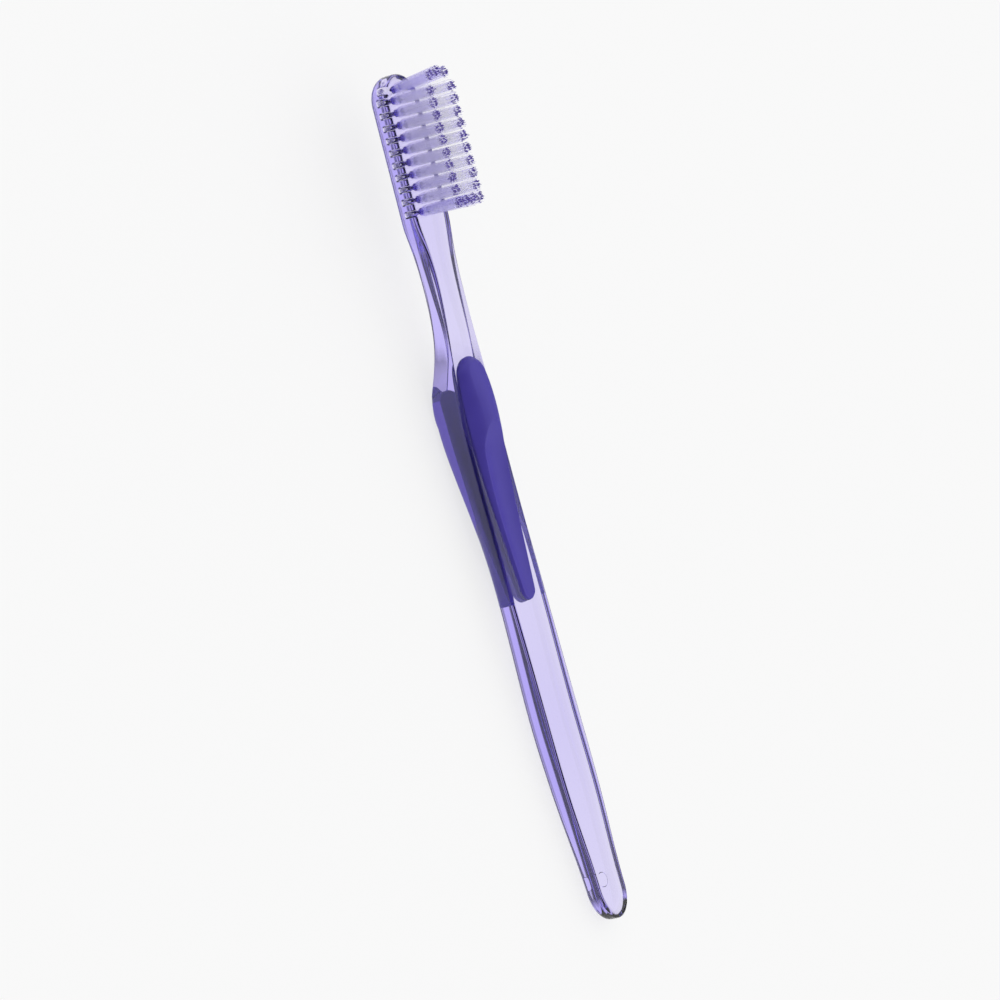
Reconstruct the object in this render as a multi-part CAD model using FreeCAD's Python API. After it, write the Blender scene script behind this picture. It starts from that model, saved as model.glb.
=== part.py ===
import FreeCAD, Part
import math
import os
from FreeCAD import Placement, Rotation, Vector

# Manual toothbrush lying on its back, bristles up. X runs from the toe of the head to the tail, Y is
# across, Z is up, and the origin is on the table under the middle. Lengths are in millimetres.

# Stretches of the handle, one after the other from the toe to the tail
head_length = 31.6
neck_length = 31.6
grip_length = 54.7
shaft_length = 46.0
tail_length = 26.1

# Places of the outline's points along those stretches
shoulder_share = 0.2
neck_waist_share = 0.58
swell_share = 0.38
hump_share = 0.24
hollow_share = 0.75
shaft_middle_share = 0.6
foot_start_share = 0.7

# Cross-sections that the handle is lofted through, counted in each stretch
neck_section_count = 7
grip_section_count = 12
shaft_section_count = 5
tail_section_count = 4

# Widths of the handle
head_width = 12.4
shoulder_width = 10.6
neck_width = 9.0
swell_width = 12.9
shaft_width = 12.7
tail_width = 12.1
tail_end_width = 9.9
tail_round_length = 7.0

# Heights of the front and back of the handle above the table
head_tilt_angle = 4.0
head_face_height = 13.1
head_thickness = 5.2
neck_front_height = 11.72
neck_back_height = 6.88
grip_start_front_height = 10.25
grip_start_back_height = 4.7
swell_front_height = 8.4
hollow_height = 2.0
grip_end_front_height = 6.88
tail_start_front_height = 5.18
tail_end_front_height = 4.48
foot_cut = 0.15

# Rounding of the moulding's edges, drawn as a few flats
head_front_radius = 1.2
head_back_radius = 2.2
front_edge_radius = 0.8
neck_back_radius = 0.9
grip_back_radius = 3.0
shaft_back_radius = 2.2
corner_flats = 3

# Mark of the ejector pin under the tail
pin_mark_diameter = 3.4
pin_mark_depth = 0.15
pin_mark_setback = 9.0

# Thumb grip inlaid in the front
thumb_grip_width = 10.0
thumb_top_radius = 4.4
thumb_top_angle = 12.0
thumb_end_radius = 2.4
thumb_taper_angle = 5.0
thumb_depth = 1.3
thumb_crown = 2.7
thumb_shoulder = 2.0
thumb_flank_share = 0.45
thumb_flank_drop = 0.3
thumb_widest_share = 0.25
crown_place_shares = (-0.05, 0.12, 0.24, 0.36, 0.55, 0.8, 1.05)
crown_shares = (0.33, 0.85, 1.0, 0.8, 0.52, 0.4, 0.3)
shoulder_shares = (0.3, 0.92, 1.0, 0.85, 0.5, 0.42, 0.35)
rest_place_shares = (0.2, 0.28, 0.36, 0.44, 0.6, 0.8, 1.05)
rest_floor_shares = (1.26, 0.97, 0.6, 0.41, 0.25, 0.22, 0.19)
rest_edge_shares = (1.33, 1.04, 0.66, 0.54, 0.42, 0.46, 0.56)

# Palm grip wrapped round the back
palm_setback = 6.0
palm_top_radius = 12.0
palm_pocket_height = 4.0
palm_narrowing_share = 0.5
palm_end_radius = 2.6
palm_taper_angle = 5.0

# Tufts, their holes and their anchors
row_count = 11
row_tuft_count = 4
toe_tuft_count = 3
row_pitch = 2.75
tuft_pitch = 2.5
toe_tuft_pitch = 2.6
toe_row_inset = 3.0
toe_row_setback = 0.45
toe_lean_angle = 6.0
hole_diameter = 1.7
hole_depth = 3.4
tuft_clearance = 0.04
bristle_length = 11.2
tuft_tip_diameter = 2.3
tuft_tip_round = 0.2
tuft_sides = 10
anchor_height = 1.4
anchor_thickness = 0.28
anchor_turn_angle = 20.0
fold_height = 0.5

# Overrun of every cutting tool past the surface that it cuts
overrun = 1.0

# Stations along X
head_turn = math.radians(head_tilt_angle)
head_reach = head_length * math.cos(head_turn) + (head_thickness - head_back_radius) * math.sin(head_turn)
brush_length = head_reach + neck_length + grip_length + shaft_length + tail_length
toe_x = -brush_length / 2
tail_x = brush_length / 2
head_end_x = toe_x + head_reach
grip_start_x = head_end_x + neck_length
grip_end_x = grip_start_x + grip_length
tail_start_x = grip_end_x + shaft_length
shoulder_x = head_end_x + shoulder_share * neck_length
neck_x = head_end_x + neck_waist_share * neck_length
swell_x = grip_start_x + swell_share * grip_length
hump_x = grip_start_x + hump_share * grip_length
hollow_x = grip_start_x + hollow_share * grip_length
shaft_x = grip_end_x + shaft_middle_share * shaft_length
foot_start_x = grip_end_x + foot_start_share * shaft_length
tail_centre_x = tail_x - tail_round_length

# Frame of the head: its origin is on the bristle face at the neck, its Z is along the bristles
head_frame = Placement(Vector(head_end_x, 0, head_face_height), Rotation(Vector(0, 1, 0), head_tilt_angle))
head_slope = head_frame.Rotation.multVec(Vector(1, 0, 0))
head_back_drop = head_thickness / math.cos(head_turn)
head_sizes = (head_width, 0, -head_thickness, head_front_radius, head_back_radius)


def line(start, end):
    return Part.LineSegment(start, end).toShape()


def arc(start, middle, end):
    return Part.Arc(start, middle, end).toShape()


def spline(points, start_direction, end_direction):
    curve = Part.BSplineCurve()
    curve.interpolate(Points=points, InitialTangent=start_direction, FinalTangent=end_direction)
    return curve.toShape()


def mirrored(edge):
    return edge.mirror(Vector(0, 0, 0), Vector(0, 1, 0))


def prism(edges, direction):
    return Part.Face(Part.Wire(Part.__sortEdges__(edges))).extrude(direction)


def tangent_point(centre_x, radius, angle):
    """Where a line that turns by angle from X touches a circle on the X axis."""
    turn = math.radians(angle)
    return Vector(centre_x + radius * math.sin(turn), radius * math.cos(turn), 0)


def heading(angle):
    turn = math.radians(angle)
    return Vector(math.cos(turn), -math.sin(turn), 0)


def flank_guides():
    """Half of the handle's outline seen from the front, from the head to the round of the tail."""
    swell = Vector(swell_x, swell_width / 2, 0)
    neck = spline(
        [
            Vector(head_end_x, head_width / 2, 0),
            Vector(shoulder_x, shoulder_width / 2, 0),
            Vector(neck_x, neck_width / 2, 0),
            swell,
        ],
        Vector(1, 0, 0),
        Vector(1, 0, 0),
    )
    shaft = spline(
        [
            swell,
            Vector(shaft_x, shaft_width / 2, 0),
            Vector(tail_start_x, tail_width / 2, 0),
            Vector(tail_centre_x, tail_end_width / 2, 0),
        ],
        Vector(1, 0, 0),
        Vector(1, 0, 0),
    )
    return [neck, shaft]


def front_guides():
    """Front of the handle seen from the side."""
    sweep = spline(
        [
            Vector(head_end_x, 0, head_face_height),
            Vector(neck_x, 0, neck_front_height),
            Vector(grip_start_x, 0, grip_start_front_height),
            Vector(swell_x, 0, swell_front_height),
            Vector(grip_end_x, 0, grip_end_front_height),
            Vector(tail_start_x, 0, tail_start_front_height),
            Vector(tail_x, 0, tail_end_front_height),
        ],
        head_slope,
        Vector(tail_length, 0, tail_end_front_height - tail_start_front_height).normalize(),
    )
    return [sweep]


def back_guides():
    """Back of the handle seen from the side: neck, hump, palm hollow and the foot under the tail."""
    hump = Vector(hump_x, 0, 0)
    foot_start = Vector(foot_start_x, 0, -foot_cut)
    neck = spline(
        [
            Vector(head_end_x, 0, head_face_height - head_back_drop),
            Vector(neck_x, 0, neck_back_height),
            Vector(grip_start_x, 0, grip_start_back_height),
            hump,
        ],
        head_slope,
        Vector(1, 0, 0),
    )
    hollow = spline([hump, Vector(hollow_x, 0, hollow_height), foot_start], Vector(1, 0, 0), Vector(1, 0, 0))
    return [neck, hollow, line(foot_start, Vector(tail_x, 0, -foot_cut))]


def guide_point(guides, x):
    """Where a guide crosses a plane across the brush."""
    reach = brush_length
    wall = Part.Plane(Vector(x, 0, 0), Vector(1, 0, 0)).toShape(-reach, reach, -reach, reach)
    return Part.makeCompound(guides).distToShape(wall)[1][0][0]


def corner(y, z, radius, quarter):
    """Points of a rounded corner in the plane across the brush, drawn as a few flats."""
    turns = [math.radians(90 * (quarter + step / corner_flats)) for step in range(corner_flats + 1)]
    return [Vector(0, y + radius * math.cos(t), z + radius * math.sin(t)) for t in turns]


def section_points(width, front, back, front_radius, back_radius):
    """Points of a cross-section from its back to its front, on the +Y side."""
    back_y = width / 2 - back_radius
    front_y = width / 2 - front_radius
    points = corner(back_y, back + back_radius, back_radius, 3)
    return points + corner(front_y, front - front_radius, front_radius, 0)


def section(*sizes):
    """Cross-section of the handle with rounded corners, as a closed wire."""
    half = section_points(*sizes)
    other = [Vector(point.x, -point.y, point.z) for point in reversed(half)]
    return Part.makePolygon(half + other + half[:1])


def round_end(sweep_angle, *sizes):
    """Half disc with the handle's rounded edges, turned about Z from the +Y side."""
    half = section_points(*sizes)
    axis = [Vector(0, 0, half[-1].z), Vector(0, 0, half[0].z)]
    face = Part.Face(Part.makePolygon(half + axis + half[:1]))
    return face.revolve(Vector(0, 0, 0), Vector(0, 0, 1), sweep_angle)


def edge_radius(x, places, radii):
    """Rounding of the handle's edges, which runs evenly from each place to the next."""
    for index in range(len(places) - 1):
        start, end = places[index:index + 2]
        if x <= end:
            return radii[index] + (radii[index + 1] - radii[index]) * (x - start) / (end - start)


def front_edge(x):
    return edge_radius(x, [head_end_x, neck_x, tail_x], [head_front_radius, front_edge_radius, front_edge_radius])


def back_edge(x):
    """The back is crisp at the neck, full in the palm and rounded along the shaft."""
    places = [head_end_x, neck_x, grip_start_x, hump_x, grip_end_x, tail_x]
    neck = [head_back_radius, neck_back_radius, neck_back_radius]
    return edge_radius(x, places, neck + [grip_back_radius, shaft_back_radius, shaft_back_radius])


def make_head():
    """Flat head with a half-round toe, in the tilted frame of its bristle face."""
    straight = head_length - head_width / 2
    toe = round_end(180, *head_sizes)
    toe.translate(Vector(-straight, 0, 0))
    rear = section(*head_sizes)
    middle = Part.Face(rear).extrude(Vector(-straight, 0, 0))
    return placed(middle.fuse(toe), head_frame)


def make_envelope(front):
    """Outside of the handle and the palm grip together."""
    flank = flank_guides()
    back = back_guides()
    sections = [placed(section(*head_sizes), head_frame)]
    for x in section_places():
        width = 2 * guide_point(flank, x).y
        sizes = (width, guide_point(front, x).z, guide_point(back, x).z, front_edge(x), back_edge(x))
        wire = section(*sizes)
        wire.translate(Vector(x, 0, 0))
        sections.append(wire)
    shaft = Part.makeLoft(sections, True)
    stretch = FreeCAD.Matrix()
    stretch.scale(2 * tail_round_length / tail_end_width, 1, 1)
    tail = round_end(-180, *sizes).transformGeometry(stretch)
    tail.translate(Vector(tail_centre_x, 0, 0))
    table = Part.makeBox(brush_length, 2 * swell_width, swell_width, Vector(toe_x, -swell_width, -swell_width))
    return make_head().fuse([shaft, tail]).cut(table).removeSplitter()


def section_places():
    """Stations of the loft from the neck to the round of the tail."""
    stretches = [
        (head_end_x, grip_start_x, neck_section_count),
        (grip_start_x, grip_end_x, grip_section_count),
        (grip_end_x, tail_start_x, shaft_section_count),
        (tail_start_x, tail_centre_x, tail_section_count),
    ]
    places = []
    for start, end, count in stretches:
        places += [start + (end - start) * step / count for step in range(1, count + 1)]
    return places


def thumb_plan():
    """Teardrop outline of the thumb grip."""
    top_centre_x = grip_start_x + thumb_top_radius
    top_corner = tangent_point(top_centre_x, thumb_top_radius, -thumb_top_angle)
    end_corner = tangent_point(grip_end_x - thumb_end_radius, thumb_end_radius, thumb_taper_angle)
    widest = Vector(grip_start_x + thumb_widest_share * grip_length, thumb_grip_width / 2, 0)
    flank = spline([top_corner, widest, end_corner], heading(-thumb_top_angle), heading(thumb_taper_angle))
    top = arc(top_corner, Vector(grip_start_x, 0, 0), Vector(top_corner.x, -top_corner.y, 0))
    end = arc(end_corner, Vector(grip_end_x, 0, 0), Vector(end_corner.x, -end_corner.y, 0))
    return [top, flank, end, mirrored(flank)]


def make_thumb_pocket(front):
    """Teardrop pocket whose floor runs parallel to the front of the handle."""
    sweep = front[0]
    lift = Vector(0, 0, head_face_height)
    start = sweep.firstVertex().Point
    end = sweep.lastVertex().Point
    lid = [line(start, start + lift), line(start + lift, end + lift), line(end + lift, end)]
    above = prism([sweep] + lid, Vector(0, thumb_grip_width + overrun, 0))
    above.translate(Vector(0, -(thumb_grip_width + overrun) / 2, -thumb_depth))
    return prism(thumb_plan(), lift + lift).common(above)


def make_crown(front):
    """Cushion with steep flanks and a crowned top that runs along the front of the grip."""
    sections = []
    outline = thumb_plan()[1]
    for place_share, crown_share, shoulder_share in zip(crown_place_shares, crown_shares, shoulder_shares):
        x = grip_start_x + place_share * grip_length
        surface = guide_point(front, x).z
        half = guide_point([outline], x).y
        rise = shoulder_share * thumb_shoulder
        shoulder = Vector(x, half - rise * thumb_flank_share, surface + rise)
        rim = Vector(x, half + thumb_flank_drop * thumb_flank_share, surface - thumb_flank_drop)
        foot = rim - Vector(0, 0, thumb_depth + overrun)
        far = [line(foot, rim), line(rim, shoulder)]
        near = [mirrored(edge) for edge in far]
        top = arc(shoulder, Vector(x, 0, surface + crown_share * thumb_crown), Vector(x, -shoulder.y, shoulder.z))
        base = line(Vector(x, -foot.y, foot.z), foot)
        sections.append(Part.Wire(Part.__sortEdges__(far + [top] + near + [base])))
    return Part.makeLoft(sections, True)


def make_thumb_rest(front):
    """Scoop over the thumb grip, whose hollow floor comes out of the crown in an arch."""
    sections = []
    reach = thumb_grip_width / 2
    lid = Vector(0, 0, head_face_height)
    for place_share, floor_share, edge_share in zip(rest_place_shares, rest_floor_shares, rest_edge_shares):
        surface = guide_point(front, grip_start_x + place_share * grip_length)
        edge = surface + Vector(0, reach, edge_share * thumb_crown)
        other = Vector(edge.x, -reach, edge.z)
        floor = arc(edge, surface + Vector(0, 0, floor_share * thumb_crown), other)
        sides = [line(other, other + lid), line(other + lid, edge + lid), line(edge + lid, edge)]
        sections.append(Part.Wire(Part.__sortEdges__([floor] + sides)))
    return Part.makeLoft(sections, True)


def make_thumb_grip(pocket, front):
    return pocket.common(make_crown(front)).cut(make_thumb_rest(front))


def make_palm_pocket():
    """Flat-floored pocket, open at both sides round the hump and narrowing to a tongue."""
    reach = swell_width / 2 + overrun
    start_x = grip_start_x + palm_setback
    top_corner = Vector(start_x + palm_top_radius - math.sqrt(palm_top_radius ** 2 - reach ** 2), reach, 0)
    side_corner = Vector(grip_start_x + palm_narrowing_share * grip_length, reach, 0)
    end_corner = tangent_point(grip_end_x - palm_end_radius, palm_end_radius, palm_taper_angle)
    top = arc(top_corner, Vector(start_x, 0, 0), Vector(top_corner.x, -reach, 0))
    flank = line(top_corner, side_corner)
    tongue = spline([side_corner, end_corner], Vector(1, 0, 0), heading(palm_taper_angle))
    end = arc(end_corner, Vector(grip_end_x, 0, 0), Vector(end_corner.x, -end_corner.y, 0))
    edges = [top, flank, tongue, end, mirrored(tongue), mirrored(flank)]
    pocket = prism(edges, Vector(0, 0, palm_pocket_height + overrun))
    pocket.translate(Vector(0, 0, -overrun))
    return pocket


def tuft_sites():
    """Name, row and place of every tuft, in the order of the rows from the toe."""
    sites = []
    middle = (toe_tuft_count - 1) / 2
    for column in range(toe_tuft_count):
        offset = column - middle
        x = toe_row_inset + toe_row_setback * abs(offset) - head_length
        lean = Rotation(Vector(0, 1, 0), -toe_lean_angle)
        place = Placement(Vector(x, offset * toe_tuft_pitch, 0), lean)
        sites.append((f"toe_tuft_{column + 1}", 1, head_frame.multiply(place)))
    for row in range(2, row_count + 1):
        for column in range(row_tuft_count):
            x = toe_row_inset + (row - 1) * row_pitch - head_length
            y = (column - (row_tuft_count - 1) / 2) * tuft_pitch
            place = Placement(Vector(x, y, 0), Rotation())
            sites.append((tuft_name(row, column), row, head_frame.multiply(place)))
    return sites


def tuft_name(row, column):
    if row == row_count:
        return f"heel_tuft_{column + 1}"
    side = "near" if column < row_tuft_count / 2 else "far"
    kind = "side" if column in (0, row_tuft_count - 1) else "inner"
    return f"{kind}_tuft_{row:02d}_{side}"


def ring(radius, height):
    turns = [2 * math.pi * side / tuft_sides for side in range(tuft_sides)]
    return [Vector(radius * math.cos(t), radius * math.sin(t), height) for t in turns]


def flat_face(points):
    return Part.Face(Part.makePolygon(points + points[:1]))


def make_tuft():
    """Bundle of filaments in its hole, flaring a little to the trimmed tip, with flat sides."""
    root_radius = hole_diameter / 2 - tuft_clearance
    tip_radius = tuft_tip_diameter / 2
    rings = [
        ring(root_radius, tuft_clearance - hole_depth),
        ring(root_radius, 0),
        ring(tip_radius, bristle_length - tuft_tip_round),
        ring(tip_radius - tuft_tip_round, bristle_length),
    ]
    faces = [flat_face(rings[0]), flat_face(rings[-1])]
    for low, high in zip(rings, rings[1:]):
        faces += [flat_face([low[i - 1], low[i], high[i], high[i - 1]]) for i in range(tuft_sides)]
    bundle = Part.makeSolid(Part.makeShell(faces))
    return bundle.cut(make_anchor())


def make_hole():
    """Blind hole with as many sides as its tuft."""
    mouth = flat_face(ring(hole_diameter / 2, overrun))
    return mouth.extrude(Vector(0, 0, -hole_depth - overrun))


def make_anchor():
    """Metal plate that pins the fold of a tuft and wedges across its hole."""
    hole_width = hole_diameter * math.cos(math.pi / tuft_sides)
    length = math.sqrt(hole_width ** 2 - anchor_thickness ** 2)
    corner = Vector(-length / 2, -anchor_thickness / 2, fold_height - hole_depth)
    plate = Part.makeBox(length, anchor_thickness, anchor_height, corner)
    plate.rotate(Vector(0, 0, 0), Vector(0, 0, 1), anchor_turn_angle)
    return plate


def placed(shape, place):
    copy = shape.copy()
    copy.Placement = place.multiply(copy.Placement)
    return copy


def make_handle(envelope, thumb_pocket, palm_pocket, sites):
    hole = make_hole()
    mark_centre = Vector(tail_x - pin_mark_setback, 0, -overrun)
    pin_mark = Part.makeCylinder(pin_mark_diameter / 2, pin_mark_depth + overrun, mark_centre)
    holes = [placed(hole, place) for name, row, place in sites]
    return envelope.cut([thumb_pocket, palm_pocket, pin_mark] + holes)


def save(shape, name):
    shape.exportStep(os.path.join("parts", name + ".step"))


def build():
    os.makedirs("parts", exist_ok=True)
    front = front_guides()
    envelope = make_envelope(front)
    thumb_pocket = make_thumb_pocket(front)
    palm_pocket = make_palm_pocket()
    sites = tuft_sites()
    save(make_handle(envelope, thumb_pocket, palm_pocket, sites), "handle")
    save(make_thumb_grip(thumb_pocket, front), "thumb_grip")
    save(envelope.common(palm_pocket), "palm_grip")
    tuft = make_tuft()
    anchor = make_anchor()
    anchor_rows = {}
    for name, row, place in sites:
        save(placed(tuft, place), name)
        anchor_rows.setdefault(row, []).append(placed(anchor, place))
    for row, anchors in anchor_rows.items():
        save(Part.makeCompound(anchors), f"anchors_row_{row:02d}")


build()
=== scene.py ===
import math

import bpy
import bmesh
import numpy as np
from mathutils import Matrix, Vector


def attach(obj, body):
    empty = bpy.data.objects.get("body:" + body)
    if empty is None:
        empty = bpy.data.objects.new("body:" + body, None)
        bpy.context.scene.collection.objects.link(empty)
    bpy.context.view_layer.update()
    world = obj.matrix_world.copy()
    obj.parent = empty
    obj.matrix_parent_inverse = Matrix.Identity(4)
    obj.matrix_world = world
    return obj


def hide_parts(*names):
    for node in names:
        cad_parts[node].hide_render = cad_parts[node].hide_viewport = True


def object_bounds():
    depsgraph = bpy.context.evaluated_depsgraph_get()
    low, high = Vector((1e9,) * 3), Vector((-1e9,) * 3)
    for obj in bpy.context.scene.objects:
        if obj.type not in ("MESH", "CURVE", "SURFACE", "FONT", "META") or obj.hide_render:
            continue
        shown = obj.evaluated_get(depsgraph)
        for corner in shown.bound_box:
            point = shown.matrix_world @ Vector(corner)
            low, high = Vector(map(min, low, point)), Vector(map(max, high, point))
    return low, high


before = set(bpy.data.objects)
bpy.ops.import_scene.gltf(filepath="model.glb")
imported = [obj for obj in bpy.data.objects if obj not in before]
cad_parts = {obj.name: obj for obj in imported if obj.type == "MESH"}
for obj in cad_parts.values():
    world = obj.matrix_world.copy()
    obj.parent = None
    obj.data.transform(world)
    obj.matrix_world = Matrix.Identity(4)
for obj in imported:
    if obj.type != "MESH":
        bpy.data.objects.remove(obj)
cad_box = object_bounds()
mm = 0.001

# Camera
# The photograph looks down on the near side of the brush through a long lens, with the picture turned so
# that the head is at the top and the tail at the bottom right.
view_elevation = math.radians(38)
brush_slant = math.radians(17.5)
picture_width = 218.8 * mm
picture_offset_right = 5.4 * mm
picture_offset_up = 1.4 * mm
lens_length = 200.0
sensor_width = 36.0

view_up_slope = Vector((0, math.sin(view_elevation), math.cos(view_elevation)))
view_back = Vector((0, -math.cos(view_elevation), math.sin(view_elevation)))
along_brush = Vector((1, 0, 0))
picture_right = math.sin(brush_slant) * along_brush + math.cos(brush_slant) * view_up_slope
picture_up = math.sin(brush_slant) * view_up_slope - math.cos(brush_slant) * along_brush
view_distance = picture_width * lens_length / sensor_width
camera_data = bpy.data.cameras.new("camera")
camera_data.lens = lens_length
camera_data.sensor_width = sensor_width
camera = bpy.data.objects.new("camera", camera_data)
bpy.context.scene.collection.objects.link(camera)
camera_turn = Matrix((picture_right, picture_up, view_back)).transposed().to_4x4()
picture_middle = picture_offset_right * picture_right + picture_offset_up * picture_up
camera.matrix_world = Matrix.Translation(picture_middle + view_distance * view_back) @ camera_turn
bpy.context.scene.camera = camera

# Floor and light
# A pale matt table under a soft dome that is brightest behind the brush. The clear plastic shows the studio
# itself: a lit table, a strip of soft boxes behind the brush, a dim ceiling and a dark camera side.
floor_reach = 4.0
floor_drop = 0.03 * mm
floor_colour = (0.86, 0.86, 0.86, 1)
backdrop_colour = (0.94, 0.94, 0.94, 1)
shadow_strength = 0.22
dome_level = 0.92
dome_lean = (0.0, 0.68, 0.3)
dome_least = 0.1
studio_angles = (0, 27, 36, 46, 58, 80, 105, 180)
studio_levels = (0.05, 0.06, 1.0, 1.0, 0.3, 0.22, 0.08, 0.08)
end_box_level = 0.9
end_box_reach = (0.25, 0.65)
light_bounces = 64
matt_bounces = 48
clear_bounces = 64

bpy.context.scene.view_settings.view_transform = "Standard"
bpy.context.scene.cycles.max_bounces = light_bounces
bpy.context.scene.cycles.transmission_bounces = light_bounces
bpy.context.scene.cycles.diffuse_bounces = matt_bounces
bpy.context.scene.cycles.transparent_max_bounces = clear_bounces


def new_object(name, mesh):
    thing = bpy.data.objects.new(name, mesh)
    bpy.context.scene.collection.objects.link(thing)
    return thing


def new_material(name):
    """Material with an empty node tree, and its output node."""
    material = bpy.data.materials.new(name)
    material.use_nodes = True
    material.node_tree.nodes.clear()
    return material, material.node_tree.nodes.new("ShaderNodeOutputMaterial")


def add_node(tree, kind, settings=None, inputs=None):
    """New node with its settings, and with a link or a value on each input that is named."""
    node = tree.nodes.new(kind)
    for name, value in (settings or {}).items():
        setattr(node, name, value)
    for name, value in (inputs or {}).items():
        if isinstance(value, bpy.types.NodeSocket):
            tree.links.new(value, node.inputs[name])
        else:
            node.inputs[name].default_value = value
    return node


def calculate(tree, operation, *values):
    return add_node(tree, "ShaderNodeMath", {"operation": operation}, dict(enumerate(values))).outputs[0]


def mix_colour(tree, factor, first, second):
    """Colour output that turns from the first colour or socket to the second."""
    mix = add_node(tree, "ShaderNodeMix", {"data_type": "RGBA"}, {"Factor": factor, 6: first, 7: second})
    return mix.outputs[2]


def sees_studio(tree):
    """One for a ray that the plastic bends or mirrors, and nought for light on its way to a matt surface."""
    ray = add_node(tree, "ShaderNodeLightPath").outputs
    bent = calculate(tree, "MAXIMUM", ray["Is Transmission Ray"], ray["Is Glossy Ray"])
    return calculate(tree, "MULTIPLY", bent, calculate(tree, "LESS_THAN", ray["Diffuse Depth"], 0.5))


floor_mesh = bpy.data.meshes.new("floor")
floor_corners = [(-floor_reach, -floor_reach), (floor_reach, -floor_reach)]
floor_corners += [(floor_reach, floor_reach), (-floor_reach, floor_reach)]
floor_mesh.from_pydata([(x, y, -floor_drop) for x, y in floor_corners], [], [(0, 1, 2, 3)])
floor = new_object("floor", floor_mesh)
floor_material, floor_out = new_material("floor_board")
floor_tree = floor_material.node_tree
board = add_node(floor_tree, "ShaderNodeBsdfDiffuse", None, {"Color": floor_colour}).outputs[0]
lit_board = add_node(floor_tree, "ShaderNodeEmission", None, {"Color": backdrop_colour}).outputs[0]
seen_board = add_node(floor_tree, "ShaderNodeLightPath").outputs["Is Camera Ray"]
evened_board = calculate(floor_tree, "MULTIPLY", seen_board, 1 - shadow_strength)
floor_share = calculate(floor_tree, "MAXIMUM", sees_studio(floor_tree), evened_board)
floor_inputs = {"Fac": floor_share, 1: board, 2: lit_board}
floor_mix = add_node(floor_tree, "ShaderNodeMixShader", None, floor_inputs)
floor_tree.links.new(floor_mix.outputs[0], floor_out.inputs["Surface"])
floor_mesh.materials.append(floor_material)

world = bpy.data.worlds.new("studio")
bpy.context.scene.world = world
world.use_nodes = True
world_tree = world.node_tree
world_direction = add_node(world_tree, "ShaderNodeTexCoord").outputs["Generated"]
dome_inputs = {0: world_direction, 1: dome_lean}
dome_slope = add_node(world_tree, "ShaderNodeVectorMath", {"operation": "DOT_PRODUCT"}, dome_inputs)
dome_light = calculate(world_tree, "ADD", dome_slope.outputs["Value"], dome_level)
dome = calculate(world_tree, "MAXIMUM", dome_light, dome_least)
world_axes = add_node(world_tree, "ShaderNodeSeparateXYZ", None, {"Vector": world_direction}).outputs
climb_angle = calculate(world_tree, "ARCTAN2", world_axes["Z"], world_axes["Y"])
climb_share = calculate(world_tree, "DIVIDE", climb_angle, math.pi)
studio = add_node(world_tree, "ShaderNodeValToRGB", None, {"Fac": climb_share})
for angle in studio_angles[1:-1]:
    studio.color_ramp.elements.new(angle / studio_angles[-1])
for stop, level in zip(studio.color_ramp.elements, studio_levels):
    stop.color = (level, level, level, 1)
end_inputs = {"Value": calculate(world_tree, "ABSOLUTE", world_axes["X"]), "To Max": end_box_level}
end_inputs["From Min"], end_inputs["From Max"] = end_box_reach
end_boxes = add_node(world_tree, "ShaderNodeMapRange", None, end_inputs).outputs[0]
room = calculate(world_tree, "MAXIMUM", studio.outputs["Color"], end_boxes)
lit_colour = mix_colour(world_tree, sees_studio(world_tree), dome, room)
camera_ray = add_node(world_tree, "ShaderNodeLightPath").outputs["Is Camera Ray"]
seen_colour = mix_colour(world_tree, camera_ray, lit_colour, backdrop_colour)
world_tree.links.new(seen_colour, world_tree.nodes["Background"].inputs["Color"])

# Handle
# One injection-moulded body of clear violet plastic: a flat tilted head, a neck, a grip with a hump behind
# and a long shaft with a round tail. All its edges are rounded by the mould.
head_length = 31.58
head_half_width = 6.2
head_thickness = 5.2
head_tilt = math.radians(4)
head_face_height = 13.1
head_front_radius = 1.2
head_back_radius = 2.2
neck_length = 31.6
shoulder_half_width = 5.3
neck_half_width = 4.5
neck_front_height = 11.72
neck_back_height = 6.88
neck_turn_length = 9.0
grip_length = 54.7
grip_start_front_height = 10.25
grip_start_back_height = 4.7
swell_half_width = 6.45
swell_front_height = 8.4
hollow_height = 2.0
shaft_length = 46.0
shaft_half_width = 6.35
grip_end_front_height = 6.88
tail_length = 26.1
tail_half_width = 6.05
tail_end_half_width = 4.95
tail_start_front_height = 5.18
tail_end_front_height = 4.48
tail_round_length = 7.0
shoulder_front_radius = 1.0
neck_front_radius = 0.6
grip_start_front_radius = 0.2
shaft_front_radius = 0.8
shoulder_back_radius = 2.1
neck_back_radius = 1.4
grip_start_back_radius = 0.4
grip_back_radius = 3.0
shaft_back_radius = 2.2

# Places are shares of the length of the neck, the grip or the shaft that they are on
shoulder_place = 0.2
neck_place = 0.58
crisp_end_place = 0.11
hump_place = 0.24
swell_place = 0.38
hollow_place = 0.75
shaft_place = 0.6
foot_place = 0.7

station_step = 0.5
corner_steps = 10
flat_steps = 6
side_steps = 4
round_steps = 40
head_steps = 14
merge_reach = 0.002
crease_angle = math.radians(35)

plastic_refraction = 1.57
plastic_roughness = (0.01, 0.04)
flow_line_scale = (30, 700, 700)
flow_line_detail = 2.0
flow_line_strength = 0.15
flow_line_depth = 0.02
dye_colour = (0.275, 0.125, 0.931, 1)
dye_density = 80.0

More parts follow.
